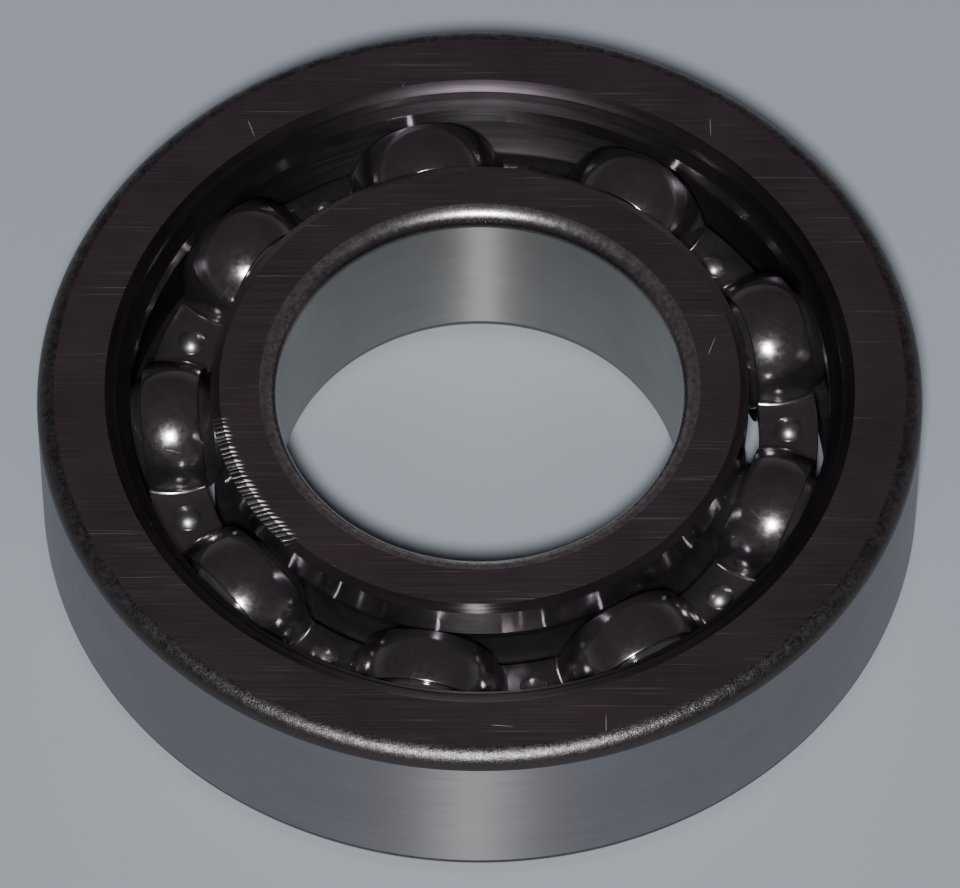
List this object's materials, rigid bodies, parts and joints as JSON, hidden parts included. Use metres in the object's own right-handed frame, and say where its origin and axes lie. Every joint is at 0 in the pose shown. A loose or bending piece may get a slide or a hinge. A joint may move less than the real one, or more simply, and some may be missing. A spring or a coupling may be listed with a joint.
{
  "type": "ball bearing",
  "caption": "Single-row ball bearing with deep grooves and a riveted ribbon cage: carries a shaft in its bore and turns freely in a housing.",
  "frame": {"origin": "centre of the bearing, on its axis and halfway between the two faces", "axes": "+Z along the axis, out of the face nearer the ball row; +X through the first cage rivet"},
  "size_m": [0.0762, 0.0762, 0.0174],
  "materials": {
    "ring_steel": "ground bearing steel, near mirror on the faces and satin on the bore and outside",
    "ball_steel": "polished bearing steel",
    "cage_steel": "tumbled bright pressed steel strip",
    "rivet_steel": "tumbled bright steel rivets"
  },
  "bodies": {
    "outer_ring": {"outer_ring": "ring_steel"},
    "inner_ring": {"inner_ring": "ring_steel"},
    "cage": {"cage_upper": "cage_steel", "cage_lower": "cage_steel", "rivet_1": "rivet_steel", "rivet_2": "rivet_steel", "rivet_3": "rivet_steel", "rivet_4": "rivet_steel", "rivet_5": "rivet_steel", "rivet_6": "rivet_steel", "rivet_7": "rivet_steel", "rivet_8": "rivet_steel", "rivet_9": "rivet_steel"},
    "ball_1": {"ball_1": "ball_steel"},
    "ball_2": {"ball_2": "ball_steel"},
    "ball_3": {"ball_3": "ball_steel"},
    "ball_4": {"ball_4": "ball_steel"},
    "ball_5": {"ball_5": "ball_steel"},
    "ball_6": {"ball_6": "ball_steel"},
    "ball_7": {"ball_7": "ball_steel"},
    "ball_8": {"ball_8": "ball_steel"},
    "ball_9": {"ball_9": "ball_steel"}
  },
  "joints": [
    {"name": "inner_ring_spin", "type": "hinge", "parent": "outer_ring", "child": "inner_ring", "pos_m": [0, 0, 0], "axis": [0, 0, 1], "continuous": true},
    {"name": "cage_orbit", "type": "hinge", "parent": "outer_ring", "child": "cage", "pos_m": [0, 0, 0], "axis": [0, 0, 1], "continuous": true},
    {"name": "ball_1_spin", "type": "hinge", "parent": "cage", "child": "ball_1", "pos_m": [0.02514, 0.00915, 0.0008], "axis": [0, 0, 1], "continuous": true},
    {"name": "ball_2_spin", "type": "hinge", "parent": "cage", "child": "ball_2", "pos_m": [0.01337, 0.02317, 0.0008], "axis": [0, 0, 1], "continuous": true},
    {"name": "ball_3_spin", "type": "hinge", "parent": "cage", "child": "ball_3", "pos_m": [-0.00464, 0.02634, 0.0008], "axis": [0, 0, 1], "continuous": true},
    {"name": "ball_4_spin", "type": "hinge", "parent": "cage", "child": "ball_4", "pos_m": [-0.02049, 0.01719, 0.0008], "axis": [0, 0, 1], "continuous": true},
    {"name": "ball_5_spin", "type": "hinge", "parent": "cage", "child": "ball_5", "pos_m": [-0.02675, 0, 0.0008], "axis": [0, 0, 1], "continuous": true},
    {"name": "ball_6_spin", "type": "hinge", "parent": "cage", "child": "ball_6", "pos_m": [-0.02049, -0.01719, 0.0008], "axis": [0, 0, 1], "continuous": true},
    {"name": "ball_7_spin", "type": "hinge", "parent": "cage", "child": "ball_7", "pos_m": [-0.00464, -0.02634, 0.0008], "axis": [0, 0, 1], "continuous": true},
    {"name": "ball_8_spin", "type": "hinge", "parent": "cage", "child": "ball_8", "pos_m": [0.01337, -0.02317, 0.0008], "axis": [0, 0, 1], "continuous": true},
    {"name": "ball_9_spin", "type": "hinge", "parent": "cage", "child": "ball_9", "pos_m": [0.02514, -0.00915, 0.0008], "axis": [0, 0, 1], "continuous": true}
  ],
  "couplings": [
    {"joint": "cage_orbit", "follows": "inner_ring_spin", "ratio": 0.39614},
    {"joint": "ball_1_spin", "follows": "inner_ring_spin", "ratio": -2.3032},
    {"joint": "ball_2_spin", "follows": "inner_ring_spin", "ratio": -2.3032},
    {"joint": "ball_3_spin", "follows": "inner_ring_spin", "ratio": -2.3032},
    {"joint": "ball_4_spin", "follows": "inner_ring_spin", "ratio": -2.3032},
    {"joint": "ball_5_spin", "follows": "inner_ring_spin", "ratio": -2.3032},
    {"joint": "ball_6_spin", "follows": "inner_ring_spin", "ratio": -2.3032},
    {"joint": "ball_7_spin", "follows": "inner_ring_spin", "ratio": -2.3032},
    {"joint": "ball_8_spin", "follows": "inner_ring_spin", "ratio": -2.3032},
    {"joint": "ball_9_spin", "follows": "inner_ring_spin", "ratio": -2.3032}
  ]
}
